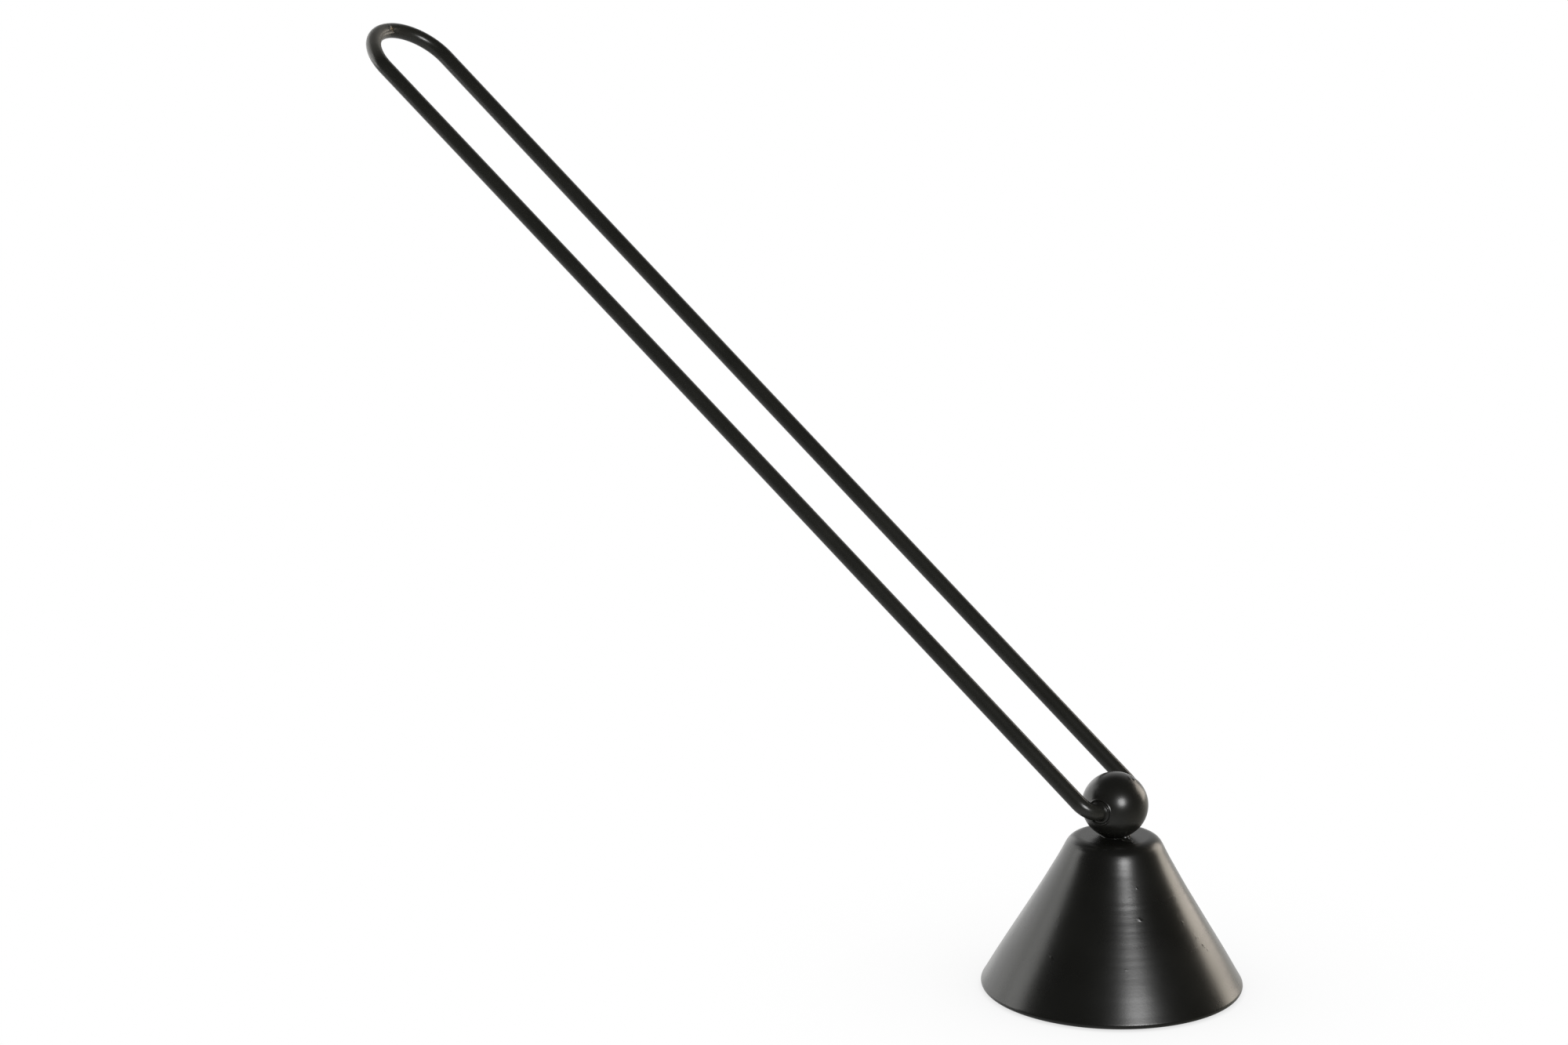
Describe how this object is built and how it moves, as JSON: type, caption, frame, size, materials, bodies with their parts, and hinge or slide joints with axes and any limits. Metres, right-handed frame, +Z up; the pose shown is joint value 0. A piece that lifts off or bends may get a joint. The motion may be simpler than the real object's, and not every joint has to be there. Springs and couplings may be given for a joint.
{
  "type": "candle snuffer",
  "caption": "Candle snuffer: a thick cone-shaped bell that smothers a flame, with a ball on its crown and a long wire loop handle that tilts in the ball.",
  "frame": {"origin": "middle of the bell's rim, on the surface that the bell stands on", "axes": "+Z up along the bell's axis, the handle leaning out towards -X, the handle's pivot along Y through the ball's centre"},
  "size_m": [0.2027, 0.05, 0.1726],
  "materials": {
    "satin_black_paint": "satin black paint, slightly uneven",
    "plain_steel": "plain bright steel"
  },
  "bodies": {
    "bell": {"bell": "satin_black_paint", "pivot_ball": "satin_black_paint", "fixing_screw": "plain_steel", "lock_washer": "plain_steel"},
    "handle": {"handle_loop": "satin_black_paint"}
  },
  "joints": [
    {"name": "handle_tilt", "type": "hinge", "parent": "bell", "child": "handle", "pos_m": [0, 0, 0.03641], "axis": [0, 1, 0], "range_deg": [-86, 191]}
  ]
}
